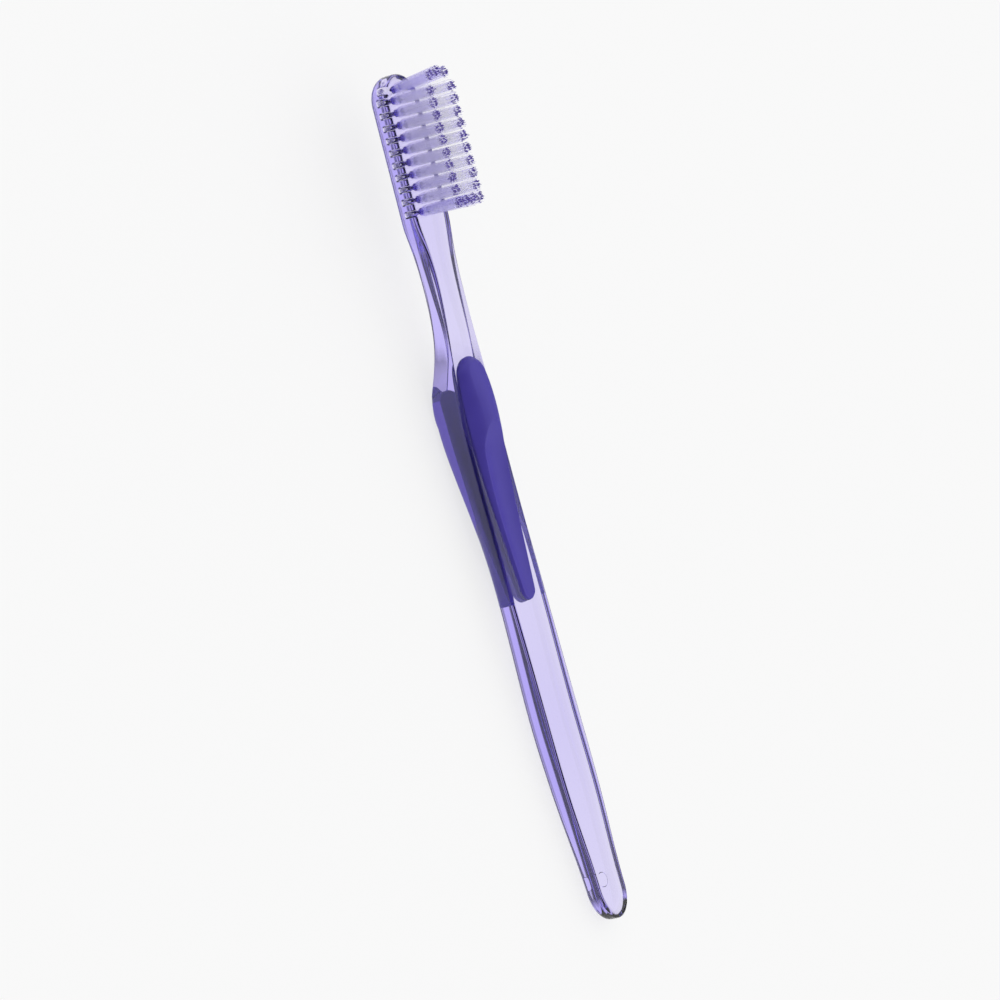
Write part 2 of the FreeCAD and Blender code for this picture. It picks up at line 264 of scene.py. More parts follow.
tail_x = cad_box[1][0] / mm
head_end_x = tail_x - tail_length - shaft_length - grip_length - neck_length
grip_start_x = head_end_x + neck_length
grip_end_x = grip_start_x + grip_length
tail_start_x = grip_end_x + shaft_length
tail_centre_x = tail_x - tail_round_length
shoulder_x = head_end_x + shoulder_place * neck_length
neck_x = head_end_x + neck_place * neck_length
crisp_end_x = grip_start_x + crisp_end_place * grip_length
hump_x = grip_start_x + hump_place * grip_length
swell_x = grip_start_x + swell_place * grip_length
hollow_x = grip_start_x + hollow_place * grip_length
shaft_x = grip_end_x + shaft_place * shaft_length
foot_start_x = grip_end_x + foot_place * shaft_length


def smooth_curve(points, start_slope, end_slope):
    """Function of X that runs smoothly through a few points, with set slopes at both ends."""
    x, value = np.array(points, float).T
    step = np.diff(x)
    count = len(x)
    system = np.zeros((count, count))
    wanted = np.zeros(count)
    system[0, 0] = system[-1, -1] = 1
    wanted[0], wanted[-1] = start_slope, end_slope
    for i in range(1, count - 1):
        before, after = step[i - 1], step[i]
        system[i, i - 1:i + 2] = 1 / before, 2 / before + 2 / after, 1 / after
        wanted[i] = 3 * (value[i] - value[i - 1]) / before ** 2 + 3 * (value[i + 1] - value[i]) / after ** 2
    slope = np.linalg.solve(system, wanted)

    def at(place):
        i = np.clip(np.searchsorted(x, place) - 1, 0, count - 2)
        t = np.clip((place - x[i]) / step[i], 0, 1)
        ends = value[i] * (1 + 2 * t) * (1 - t) ** 2 + value[i + 1] * t ** 2 * (3 - 2 * t)
        return ends + step[i] * (slope[i] * t * (1 - t) ** 2 - slope[i + 1] * t ** 2 * (1 - t))

    return at


neck_outline = smooth_curve(
    [
        (head_end_x, head_half_width),
        (shoulder_x, shoulder_half_width),
        (neck_x, neck_half_width),
        (swell_x, swell_half_width),
    ],
    0,
    0,
)
shaft_outline = smooth_curve(
    [
        (swell_x, swell_half_width),
        (shaft_x, shaft_half_width),
        (tail_start_x, tail_half_width),
        (tail_centre_x, tail_end_half_width),
    ],
    0,
    0,
)
front_height = smooth_curve(
    [
        (head_end_x, head_face_height),
        (neck_x, neck_front_height),
        (grip_start_x, grip_start_front_height),
        (swell_x, swell_front_height),
        (grip_end_x, grip_end_front_height),
        (tail_start_x, tail_start_front_height),
        (tail_x, tail_end_front_height),
    ],
    -math.tan(head_tilt),
    (tail_end_front_height - tail_start_front_height) / tail_length,
)
neck_back = smooth_curve(
    [
        (head_end_x, head_face_height - head_thickness / math.cos(head_tilt)),
        (neck_x, neck_back_height),
        (grip_start_x, grip_start_back_height),
        (hump_x, 0),
    ],
    -math.tan(head_tilt),
    0,
)
palm_hollow = smooth_curve([(hump_x, 0), (hollow_x, hollow_height), (foot_start_x, 0)], 0, 0)


def half_width(x):
    return neck_outline(x) if x < swell_x else shaft_outline(x)


def back_height(x):
    return max(neck_back(x) if x < hump_x else palm_hollow(x), 0)


def edge_radii(x):
    """Rounding of the front and back edges: crisp where the neck meets the grip, and full behind the grip."""
    places = [head_end_x, shoulder_x, neck_x, grip_start_x, crisp_end_x, hump_x, grip_end_x]
    front = [head_front_radius, shoulder_front_radius, neck_front_radius]
    front += [grip_start_front_radius, grip_start_front_radius, shaft_front_radius, shaft_front_radius]
    back = [head_back_radius, shoulder_back_radius, neck_back_radius]
    back += [grip_start_back_radius, grip_start_back_radius, grip_back_radius, shaft_back_radius]
    return np.interp(x, places, front), np.interp(x, places, back)


def half_profile(half, front, back, front_radius, back_radius):
    """Half a cross-section as rows of y, z, from the middle of its back to the middle of its front."""
    turns = np.linspace(0, math.pi / 2, corner_steps + 1)
    back_y = half - back_radius + back_radius * np.sin(turns)
    back_z = back + back_radius * (1 - np.cos(turns))
    front_y = half - front_radius + front_radius * np.cos(turns)
    front_z = front - front_radius * (1 - np.sin(turns))
    flat = np.linspace(0, 1, flat_steps, endpoint=False)
    side = np.linspace(0, 1, side_steps + 1)[1:-1]
    y = [flat * back_y[0], back_y, np.full(len(side), half), front_y, front_y[-1] * flat[::-1]]
    z = [np.full(len(flat), back), back_z, back_z[-1] + side * (front_z[0] - back_z[-1]), front_z]
    z.append(np.full(len(flat), front))
    return np.stack([np.concatenate(y), np.concatenate(z)], axis=1)


def head_point(x, y, z):
    """From the head's own frame, with its origin on the bristle face at the neck, to the brush."""
    turned_x = x * math.cos(head_tilt) + z * math.sin(head_tilt)
    turned_z = z * math.cos(head_tilt) - x * math.sin(head_tilt)
    return np.stack([head_end_x + turned_x, y, head_face_height + turned_z], axis=-1)


def mesh_object(name, points, faces):
    """Closed mesh from points in millimetres, with doubled points merged and faces outwards."""
    mesh = bpy.data.meshes.new(name)
    mesh.from_pydata(np.asarray(points) * mm, [], faces)
    shape = bmesh.new()
    shape.from_mesh(mesh)
    bmesh.ops.remove_doubles(shape, verts=shape.verts, dist=merge_reach * mm)
    bmesh.ops.recalc_face_normals(shape, faces=shape.faces)
    shape.to_mesh(mesh)
    shape.free()
    return new_object(name, mesh)


def grid_faces(row_count, row_length, closed):
    """Quads between neighbouring rows of points, and from the last row to the first if closed."""
    faces = []
    for row in range(row_count if closed else row_count - 1):
        after = (row + 1) % row_count
        for i in range(row_length - 1):
            start, end = row * row_length + i, after * row_length + i
            faces.append((start, start + 1, end + 1, end))
    return faces


def make_envelope():
    """Outside of the moulding: half profiles set round the outline, up one flank, round the toe and back."""
    station_count = int((tail_centre_x - head_end_x) / station_step)
    stations = np.linspace(tail_centre_x, head_end_x, station_count)[:-1]
    profiles = [
        half_profile(half_width(x), front_height(x), back_height(x), *edge_radii(x))
        for x in stations
    ]
    flank = []
    for x, profile in zip(stations, profiles):
        y, z = profile.T
        fade = np.clip(1 - (x - head_end_x) / neck_turn_length, 0, 1) ** 2
        flank.append(np.stack([x + (z - front_height(x)) * math.tan(head_tilt) * fade, y, z], axis=1))
    y, z = half_profile(head_half_width, 0, -head_thickness, head_front_radius, head_back_radius).T
    straight = head_length - head_half_width
    for x in np.linspace(0, -straight, head_steps):
        flank.append(head_point(np.full(len(y), x), y, z))
    turns = np.linspace(0, math.pi, round_steps + 1)[1:-1]
    toe = [head_point(-straight - y * math.sin(turn), y * math.cos(turn), z) for turn in turns]
    far_flank = [row * (1, -1, 1) for row in reversed(flank)]
    y, z = profiles[0].T
    stretch = tail_round_length / y.max()
    tail = [
        np.stack([tail_centre_x + stretch * y * math.sin(turn), -y * math.cos(turn), z], axis=1)
        for turn in turns
    ]
    rows = flank + toe + far_flank + tail
    return mesh_object("handle", np.concatenate(rows), grid_faces(len(rows), len(y), True))


def carve(target, tool, operation="DIFFERENCE"):
    """Cuts a closed tool out of a closed target, or keeps only what they share. The tool is used up."""
    change = target.modifiers.new("carve", "BOOLEAN")
    change.operation = operation
    change.solver = "MANIFOLD"
    change.object = tool
    before = target.data
    target.data = bpy.data.meshes.new_from_object(target.evaluated_get(bpy.context.evaluated_depsgraph_get()))
    target.modifiers.remove(change)
    bpy.data.meshes.remove(before)
    bpy.data.meshes.remove(tool.data)


def own_place(tree):
    """Place on the piece, in metres."""
    return add_node(tree, "ShaderNodeTexCoord").outputs["Object"]


def noise(tree, place, scale, detail):
    inputs = {"Vector": place, "Scale": scale, "Detail": detail}
    return add_node(tree, "ShaderNodeTexNoise", None, inputs).outputs[0]


def ranged(tree, value, ends):
    """Output that goes from one end to the other as the value goes from nought to one."""
    inputs = {"Value": value, "To Min": ends[0], "To Max": ends[1]}
    return add_node(tree, "ShaderNodeMapRange", None, inputs).outputs[0]


def relief(tree, height, strength, depth):
    """Normal of a surface with a fine relief, whose depth is in millimetres."""
    inputs = {"Height": height, "Strength": strength, "Distance": depth * mm}
    return add_node(tree, "ShaderNodeBump", None, inputs).outputs[0]


handle = make_envelope()
palm_grip = new_object("palm_grip", handle.data.copy())

clear_plastic, clear_out = new_material("clear_violet_plastic")
clear_tree = clear_plastic.node_tree
flow_inputs = {"Vector": own_place(clear_tree), "Scale": flow_line_scale}
flow_place = add_node(clear_tree, "ShaderNodeMapping", None, flow_inputs).outputs[0]
flow_lines = noise(clear_tree, flow_place, 1.0, flow_line_detail)
plastic_inputs = {
    "Base Color": (1, 1, 1, 1),
    "Transmission Weight": 1.0,
    "Roughness": ranged(clear_tree, flow_lines, plastic_roughness),
    "IOR": plastic_refraction,
    "Normal": relief(clear_tree, flow_lines, flow_line_strength, flow_line_depth),
}
plastic = add_node(clear_tree, "ShaderNodeBsdfPrincipled", None, plastic_inputs)
clear_tree.links.new(plastic.outputs["BSDF"], clear_out.inputs["Surface"])
dye_inputs = {"Color": dye_colour, "Density": dye_density}
violet_dye = add_node(clear_tree, "ShaderNodeVolumeAbsorption", None, dye_inputs)
clear_tree.links.new(violet_dye.outputs["Volume"], clear_out.inputs["Volume"])

# Pin mark
# A shallow round recess under the tail, in the plastic of the handle itself. It is left by the pin that
# pushes the moulding out of its mould.
pin_mark_radius = 1.7
pin_mark_depth = 0.15
pin_mark_bevel = 0.15
pin_mark_setback = 9.0
pin_mark_sides = 64


def make_pin_mark():
    """Flat cone that stands through the underside of the tail."""
    mesh = bpy.data.meshes.new("pin_mark")
    shape = bmesh.new()
    bmesh.ops.create_cone(
        shape,
        cap_ends=True,
        segments=pin_mark_sides,
        radius1=(pin_mark_radius + pin_mark_bevel) * mm,
        radius2=(pin_mark_radius - pin_mark_bevel) * mm,
        depth=2 * pin_mark_depth * mm,
    )
    bmesh.ops.translate(shape, verts=shape.verts, vec=((tail_x - pin_mark_setback) * mm, 0, 0))
    shape.to_mesh(mesh)
    shape.free()
    return new_object("pin_mark", mesh)


carve(handle, make_pin_mark())

# Palm grip
# Soft violet rubber moulded round the back of the grip. It fills a flat-floored pocket in the handle, shows
# on both sides of the hump and narrows to a tongue towards the tail.
palm_setback = 6.0
palm_top_radius = 12.0
palm_pocket_height = 4.0
palm_narrowing_place = 0.5
palm_end_radius = 2.6
palm_taper = math.radians(5)
palm_arch_steps = 16
palm_flank_steps = 40
palm_end_steps = 12
bond_depth = 0.03
cut_overrun = 1.0
# The palm rubber is painted lighter than the thumb rubber, though both are one rubber: painted light, for
# light that the palm's flank does not get. Within each pair the colours differ only at random, in clouds.
palm_painted_lit_dark_colour = (0.16, 0.12, 0.58, 1)
palm_painted_lit_light_colour = (0.18, 0.135, 0.63, 1)
rubber_roughness = (0.42, 0.58)
rubber_cloud_scale = 250.0
rubber_cloud_detail = 3.0
rubber_grain_scale = 9000.0
rubber_grain_detail = 2.0
rubber_grain_strength = 0.25
rubber_grain_depth = 0.02


def prism_object(name, plan, low, high):
    """Closed prism over a plan outline given as rows of x, y."""
    count = len(plan)
    points = [(x, y, low) for x, y in plan] + [(x, y, high) for x, y in plan]
    faces = [(i, (i + 1) % count, count + (i + 1) % count, count + i) for i in range(count)]
    faces += [tuple(range(count)), tuple(range(count, 2 * count))]
    return mesh_object(name, points, faces)


def palm_plan(grow):
    """Outline of the palm grip seen from behind: an arched top, straight flanks and a tapering tongue."""
    reach = swell_half_width + cut_overrun
    start_x = grip_start_x + palm_setback - grow
    arch_x = start_x + palm_top_radius
    arch_turn = math.asin(reach / palm_top_radius)
    arch = [
        (arch_x - palm_top_radius * math.cos(turn), palm_top_radius * math.sin(turn))
        for turn in np.linspace(0, arch_turn, palm_arch_steps)
    ]
    narrowing_x = grip_start_x + palm_narrowing_place * grip_length
    end_x = grip_end_x - palm_end_radius
    corner = (end_x + palm_end_radius * math.sin(palm_taper), palm_end_radius * math.cos(palm_taper))
    tongue = smooth_curve([(narrowing_x, reach), corner], 0, -math.tan(palm_taper))
    flank = [(x, tongue(x) + grow) for x in np.linspace(narrowing_x, corner[0], palm_flank_steps)]
    round_end = [
        (end_x + (palm_end_radius + grow) * math.sin(turn), (palm_end_radius + grow) * math.cos(turn))
        for turn in np.linspace(palm_taper, math.pi / 2, palm_end_steps)[1:]
    ]
    half = arch + flank + round_end
    return half + [(x, -y) for x, y in half[-2:0:-1]]


palm_tool = prism_object("palm_tool", palm_plan(bond_depth), -cut_overrun, palm_pocket_height + bond_depth)
carve(palm_grip, palm_tool, "INTERSECT")
carve(handle, prism_object("palm_pocket", palm_plan(0), -cut_overrun, palm_pocket_height))


def soft_rubber(name, dark_colour, light_colour):
    """Satin rubber with a fine moulded grain and slight clouds in its colour."""
    material, out = new_material(name)
    tree = material.node_tree
    cloud = noise(tree, own_place(tree), rubber_cloud_scale, rubber_cloud_detail)
    grain = noise(tree, own_place(tree), rubber_grain_scale, rubber_grain_detail)
    skin_inputs = {
        "Base Color": mix_colour(tree, cloud, dark_colour, light_colour),
        "Roughness": ranged(tree, cloud, rubber_roughness),
        "Normal": relief(tree, grain, rubber_grain_strength, rubber_grain_depth),
    }
    skin = add_node(tree, "ShaderNodeBsdfPrincipled", None, skin_inputs)
    tree.links.new(skin.outputs["BSDF"], out.inputs["Surface"])
    return material


palm_grip.data.materials.clear()
palm_grip.data.materials.append(soft_rubber("palm_rubber_painted_lit", palm_painted_lit_dark_colour, palm_painted_lit_light_colour))
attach(palm_grip, "root")
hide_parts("palm_grip")

# Thumb grip
# Soft violet rubber moulded into a teardrop pocket in the front: a cushion with steep flanks and a crowned
# top. A hollow for the thumb is scooped out of it, and comes out of the crown in an arch.
thumb_half_width = 5.0
thumb_top_radius = 4.4
thumb_top_angle = math.radians(12)
thumb_widest_place = 0.25
thumb_end_radius = 2.4
thumb_taper = math.radians(5)
thumb_depth = 1.3
thumb_crown = 2.7
thumb_shoulder = 2.3
thumb_flank_share = 0.6
shoulder_round = 1.1
arch_round = 0.08
# The thumb rubber is painted darker than the palm rubber, though both are one rubber: painted shade. Within
# each pair the colours differ only at random, in clouds.
thumb_painted_shade_dark_colour = (0.042, 0.024, 0.31, 1)
thumb_painted_shade_light_colour = (0.05, 0.03, 0.36, 1)

# Heights along the grip, as shares of the crown's or the shoulder's height, at places along its length
crown_shares = {-0.05: 0.33, 0.12: 1.03, 0.24: 1.32, 0.36: 1.12, 0.55: 0.54, 0.8: 0.4, 1.05: 0.3}
shoulder_shares = {-0.05: 0.3, 0.12: 0.97, 0.24: 1.1, 0.36: 0.92, 0.55: 0.5, 0.8: 0.42, 1.05: 0.35}
rest_floor_shares = {0.2: 1.6, 0.28: 1.24, 0.36: 0.6, 0.44: 0.3, 0.6: 0.1, 0.8: 0.1, 1.05: 0.12}
rest_edge_shares = {0.2: 1.7, 0.28: 1.4, 0.36: 0.86, 0.44: 0.7, 0.6: 0.6, 0.8: 0.6, 1.05: 0.6}

end_crowding = 0.35
thumb_station_count = 260
thumb_lane_count = 141
pocket_station_count = 120

thumb_top_x = grip_start_x + thumb_top_radius
thumb_end_x = grip_end_x - thumb_end_radius
thumb_top_corner_x = thumb_top_x - thumb_top_radius * math.sin(thumb_top_angle)
thumb_end_corner_x = thumb_end_x + thumb_end_radius * math.sin(thumb_taper)
thumb_flank = smooth_curve(
    [
        (thumb_top_corner_x, thumb_top_radius * math.cos(thumb_top_angle)),
        (grip_start_x + thumb_widest_place * grip_length, thumb_half_width),
        (thumb_end_corner_x, thumb_end_radius * math.cos(thumb_taper)),
    ],
    math.tan(thumb_top_angle),
    -math.tan(thumb_taper),
)


def height_along(shares, height):
    """Function of X for a height that is given as shares at places along the grip."""
    points = [(grip_start_x + place * grip_length, share * height) for place, share in shares.items()]
    slopes = [(b[1] - a[1]) / (b[0] - a[0]) for a, b in (points[:2], points[-2:])]
    return smooth_curve(points, *slopes)


crown_height = height_along(crown_shares, thumb_crown)
shoulder_height = height_along(shoulder_shares, thumb_shoulder)
rest_floor_height = height_along(rest_floor_shares, thumb_crown)
rest_edge_height = height_along(rest_edge_shares, thumb_crown)


def thumb_outline(x):
    """Half width of the teardrop."""
    if x < thumb_top_corner_x:
        return math.sqrt(max(thumb_top_radius ** 2 - (x - thumb_top_x) ** 2, 0))
    if x > thumb_end_corner_x:
        return math.sqrt(max(thumb_end_radius ** 2 - (x - thumb_end_x) ** 2, 0))
    return float(thumb_flank(x))


def rim_distance(x, y):
    """How far a point of the teardrop is from its rim."""
    if x < thumb_top_corner_x:
        return thumb_top_radius - np.hypot(x - thumb_top_x, y)
    if x > thumb_end_corner_x:
        return thumb_end_radius - np.hypot(x - thumb_end_x, y)
    return thumb_outline(x) - np.abs(y)


def arc_height(y, reach, middle, edge):
    """Height of an arc that is at one height in the middle and at another a given reach to both sides."""
    sag = middle - edge
    radius = (reach ** 2 + sag ** 2) / (2 * sag)
    return middle - radius + np.sign(radius) * np.sqrt(radius ** 2 - y ** 2)


def rounded_least(first, second, reach):
    """The lower of two heights, with the ridge between them rounded over."""
    blend = np.maximum(reach - np.abs(first - second), 0) / reach
    return np.minimum(first, second) - blend ** 2 * reach / 4


def thumb_surface(x, y):
    """Height of the cushion: flanks, a crowned top, and the hollow for the thumb."""
    shoulder_reach = thumb_outline(thumb_top_x) if x < thumb_top_x else thumb_outline(min(x, thumb_end_x))
    shoulder_reach -= shoulder_height(x) * thumb_flank_share
    crown = arc_height(y, shoulder_reach, crown_height(x), shoulder_height(x))
    hollow = arc_height(y, thumb_half_width, rest_floor_height(x), rest_edge_height(x))
    flank = rim_distance(x, y) / thumb_flank_share
    return front_height(x) + rounded_least(rounded_least(crown, flank, shoulder_round), hollow, arch_round)


def thumb_stations(count):
    """Places along the teardrop, closer together at its round ends."""
    turns = np.linspace(0, math.pi, count)
    even = np.linspace(0, 1, count)
    crowded = (1 - np.cos(turns)) / 2
    return grip_start_x + grip_length * (end_crowding * crowded + (1 - end_crowding) * even)


def make_thumb_grip():
    stations = thumb_stations(thumb_station_count)
    lanes = np.sin(np.linspace(-1, 1, thumb_lane_count) * math.pi / 2)
    top = []
    underside = []
    for x in stations:
        y = lanes * thumb_outline(x)
        level = np.full(len(y), x)
        top.append(np.stack([level, y, thumb_surface(x, y)], axis=1))
        bond_y = lanes * (thumb_outline(x) + bond_depth)
        bottom = np.full(len(y), front_height(x) - thumb_depth - bond_depth)
        underside.append(np.stack([level, bond_y, bottom], axis=1))
    count = len(stations)
    lane_count = len(lanes)
    faces = grid_faces(count, lane_count, False)
    under = count * lane_count
    faces += [tuple(under + i for i in reversed(face)) for face in grid_faces(count, lane_count, False)]
    rim = [row * lane_count for row in range(count)]
    rim += [(count - 1) * lane_count + i for i in range(1, lane_count)]
    rim += [row * lane_count + lane_count - 1 for row in range(count - 2, -1, -1)]
    rim += list(range(lane_count - 2, 0, -1))
    for i, corner in enumerate(rim):
        after = rim[(i + 1) % len(rim)]
        faces.append((corner, after, under + after, under + corner))
    return mesh_object("thumb_grip", np.concatenate(top + underside), faces)


def make_thumb_pocket():
    half = [(x, thumb_outline(x)) for x in thumb_stations(pocket_station_count)]
    plan = half + [(x, -y) for x, y in half[-2:0:-1]]
    count = len(plan)
    points = [(x, y, front_height(x) - thumb_depth) for x, y in plan]
    points += [(x, y, head_face_height + thumb_crown) for x, y in plan]
    faces = [(i, (i + 1) % count, count + (i + 1) % count, count + i) for i in range(count)]
    middle = len(half) - 1
    for base in (0, count):
        far = base + count
        faces.append((base, base + 1, far - 1))
        faces += [(base + i, base + i + 1, far - i - 1, far - i) for i in range(1, middle - 1)]
        faces.append((base + middle - 1, base + middle, base + middle + 1))
    return mesh_object("thumb_pocket", points, faces)


thumb_grip = make_thumb_grip()
carve(handle, make_thumb_pocket())
thumb_grip.data.materials.append(soft_rubber("thumb_rubber_painted_shade", thumb_painted_shade_dark_colour, thumb_painted_shade_light_colour))
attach(thumb_grip, "root")
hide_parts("thumb_grip")

# Tuft holes
# Blind round holes moulded in the face of the head, one for each tuft. They are cut last, so the handle gets
# its clear plastic here.
hole_radius = 0.85
hole_depth = 3.4
hole_sides = 24
foot_gap = 0.04


def tuft_axis(node):
    """Middle of a tuft's foot and its direction, from its solid, in metres."""
    points = np.array([v.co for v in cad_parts[node].data.vertices], float)
    middle = points.mean(axis=0)
    direction = np.linalg.svd(points - middle)[2][0]
    direction *= np.sign(direction[2])
    reach = (points - middle) @ direction
    return middle + direction * reach.min(), direction


def make_tuft_holes(nodes):
    """One mesh of round rods that stand in the head where the tufts do, out through its face."""
    mesh = bpy.data.meshes.new("tuft_holes")
    shape = bmesh.new()
    deep = (hole_depth + cut_overrun) * mm
    for node in nodes:
        foot, direction = tuft_axis(node)
        turn = Vector((0, 0, 1)).rotation_difference(Vector(direction)).to_matrix().to_4x4()
        bmesh.ops.create_cone(
            shape,
            cap_ends=True,
            segments=hole_sides,
            radius1=hole_radius * mm,
            radius2=hole_radius * mm,
            depth=deep,
            matrix=Matrix.Translation(Vector(foot + direction * (deep / 2 - foot_gap * mm))) @ turn,
        )
    shape.to_mesh(mesh)
    shape.free()
    return new_object("tuft_holes", mesh)


tuft_nodes = sorted(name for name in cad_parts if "_tuft_" in name)
carve(handle, make_tuft_holes(tuft_nodes))
handle.data.materials.clear()
handle.data.materials.append(clear_plastic)
for polygon in handle.data.polygons:
    polygon.material_index = 0
for piece in (handle, palm_grip, thumb_grip):
    piece.data.shade_smooth()
    piece.data.set_sharp_from_angle(angle=crease_angle)
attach(handle, "root")
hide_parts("handle")

# Tufts
# Each tuft is a bundle of nylon filaments, folded in two, pinned in its hole by a metal plate, trimmed and
# ground round at the tips. The outer tufts and both end rows are violet, the inner ones clear white.
filament_count = 60
filament_radius = 0.1
filament_sides = 6
filament_segments = 6
segment_crowding = 1.6
filament_tip = 0.07
tip_narrowing = 0.5
filament_floor_gap = 0.1
bundle_radius = 0.7
# The core radius marks where the painted dark tips are at full strength.
core_radius = 0.58
bundle_flare = 0.72
flare_pace = 25.0
plate_gap = 0.24
plate_turn = math.radians(20)
bristle_length = 11.1
bristle_unevenness = 0.035
bristle_stray = 0.02
bristle_bend = 0.2
violet_seed = 3
white_seed = 8
golden_turn = math.pi * (3 - math.sqrt(5))

# Stretches of a filament are shares of its free length
# The foot stretch is where the painted shade at the roots fades into the body colour.
foot_shade_stretch = (0.05, 0.2)
# The tip stretch is where the painted dark tips come in; they are made nearly opaque there.
tip_shade_stretch = (0.94, 0.975)
rim_tip_shade_share = 0.1
nylon_refraction = 1.53
nylon_roughness = (0.25, 0.45)
nylon_streak_scale = 3500.0
nylon_streak_detail = 1.0


def make_bristle_tree():
    """Bundles of filaments that grow from the mouths of the holes, given as points with a direction."""
    tree = bpy.data.node_groups.new("bristle_tufts", "GeometryNodeTree")
    sockets = {
        "Mouths": "Geometry",
        "Filament Count": "Int",
        "Filament Radius": "Float",
        "Filament Tip": "Float",
        "Bundle Radius": "Float",
        "Bundle Flare": "Float",
        "Plate Gap": "Float",
        "Plate Turn": "Float",
        "Foot Depth": "Float",
        "Length": "Float",
        "Unevenness": "Float",
        "Stray": "Float",
        "Bend": "Float",
        "Seed": "Int",
        "Material": "Material",
    }
    for name, kind in sockets.items():
        tree.interface.new_socket(name, in_out="INPUT", socket_type="NodeSocket" + kind)
    tree.interface.new_socket("Bristles", in_out="OUTPUT", socket_type="NodeSocketGeometry")
    given = tree.nodes.new("NodeGroupInput").outputs

    def calc(operation, *values):
        return calculate(tree, operation, *values)

    def vector_calc(operation, *values):
        inputs = dict(enumerate(values))
        return add_node(tree, "ShaderNodeVectorMath", {"operation": operation}, inputs).outputs[0]

    def scaled(vector, size):
        scaling = vector_calc("SCALE", vector)
        tree.links.new(size, scaling.node.inputs["Scale"])
        return scaling

    def attribute(name, kind):
        settings = {"data_type": kind}
        return add_node(tree, "GeometryNodeInputNamedAttribute", settings, {"Name": name}).outputs[0]

    def store(geometry, name, kind, domain, value):
        settings = {"data_type": kind, "domain": domain}
        inputs = {"Geometry": geometry, "Name": name, "Value": value}
        return add_node(tree, "GeometryNodeStoreNamedAttribute", settings, inputs).outputs[0]

    def random_vector(size, seed_step):
        inputs = {"Min": scaled((-1, -1, -1), size), "Max": scaled((1, 1, 1), size)}
        inputs["Seed"] = calc("ADD", given["Seed"], seed_step)
        return add_node(tree, "FunctionNodeRandomValue", {"data_type": "FLOAT_VECTOR"}, inputs).outputs[0]

    def aligned(direction):
        settings = {"axis": "Z"}
        return add_node(tree, "FunctionNodeAlignRotationToVector", settings, {"Vector": direction}).outputs[0]

    position = add_node(tree, "GeometryNodeInputPosition").outputs[0]

    # Spots of the filaments in one hole: a sunflower pattern, parted in the middle by the plate
    index = add_node(tree, "GeometryNodeInputIndex").outputs[0]
    share = calc("DIVIDE", calc("ADD", index, 0.5), given["Filament Count"])
    ring = calc("MULTIPLY", given["Bundle Radius"], calc("SQRT", share))
    turn = calc("MULTIPLY", index, golden_turn)
    across = calc("MULTIPLY", ring, calc("SINE", turn))
    room = calc("SUBTRACT", 1, calc("DIVIDE", given["Plate Gap"], given["Bundle Radius"]))
    parted = calc("MULTIPLY_ADD", calc("ABSOLUTE", across), room, given["Plate Gap"])
    spot_inputs = {"X": calc("MULTIPLY", ring, calc("COSINE", turn))}
    spot_inputs["Y"] = calc("MULTIPLY", calc("SIGN", across), parted)
    spot = add_node(tree, "ShaderNodeCombineXYZ", None, spot_inputs).outputs[0]
    turn_inputs = {"Vector": spot, "Angle": given["Plate Turn"]}
    turned = add_node(tree, "ShaderNodeVectorRotate", {"rotation_type": "Z_AXIS"}, turn_inputs).outputs[0]
    spots_inputs = {"Count": given["Filament Count"], "Position": turned}
    spots = add_node(tree, "GeometryNodePoints", None, spots_inputs).outputs[0]

    # One such pattern in each mouth, made into plain points
    mouths = store(given["Mouths"], "mouth", "FLOAT_VECTOR", "POINT", position)
    axis = attribute("axis", "FLOAT_VECTOR")
    pattern_inputs = {"Points": mouths, "Instance": spots, "Rotation": aligned(axis)}
    patterns = add_node(tree, "GeometryNodeInstanceOnPoints", None, pattern_inputs).outputs[0]
    roots = add_node(tree, "GeometryNodeRealizeInstances", None, {"Geometry": patterns}).outputs[0]

    # One filament: a slim rod from the foot of the hole to the trimmed length, with a round tip
    rod_inputs = {"Vertices": filament_sides, "Side Segments": filament_segments}
    rod_inputs |= {"Radius": given["Filament Radius"], "Depth": 1.0}
    rod = add_node(tree, "GeometryNodeMeshCylinder", None, rod_inputs).outputs["Mesh"]
    parts = add_node(tree, "ShaderNodeSeparateXYZ", None, {"Vector": position}).outputs
    level = calc("ADD", parts["Z"], 0.5)
    half_segment = 0.5 / filament_segments
    end = calc("GREATER_THAN", level, 1 - half_segment)
    foot = calc("LESS_THAN", level, half_segment)
    free_inputs = {"Value": level, "From Min": 1 / filament_segments}
    free_inputs["From Max"] = (filament_segments - 1) / filament_segments
    free_share = add_node(tree, "ShaderNodeMapRange", None, free_inputs).outputs[0]
    free_length = calc("SUBTRACT", given["Length"], given["Filament Tip"])
    climb = calc("MULTIPLY", calc("POWER", free_share, segment_crowding), free_length)
    sunk = calc("SUBTRACT", climb, calc("MULTIPLY", foot, given["Foot Depth"]))
    height = calc("MULTIPLY_ADD", end, given["Filament Tip"], sunk)
    slim = calc("MULTIPLY_ADD", end, -tip_narrowing, 1)
    shaped_inputs = {name: calc("MULTIPLY", parts[name], slim) for name in ("X", "Y")}
    shaped_inputs["Z"] = height
    shaped = add_node(tree, "ShaderNodeCombineXYZ", None, shaped_inputs).outputs[0]
    rod = store(rod, "along", "FLOAT", "POINT", calc("DIVIDE", height, given["Length"]))
    rod = add_node(tree, "GeometryNodeSetPosition", None, {"Geometry": rod, "Position": shaped}).outputs[0]

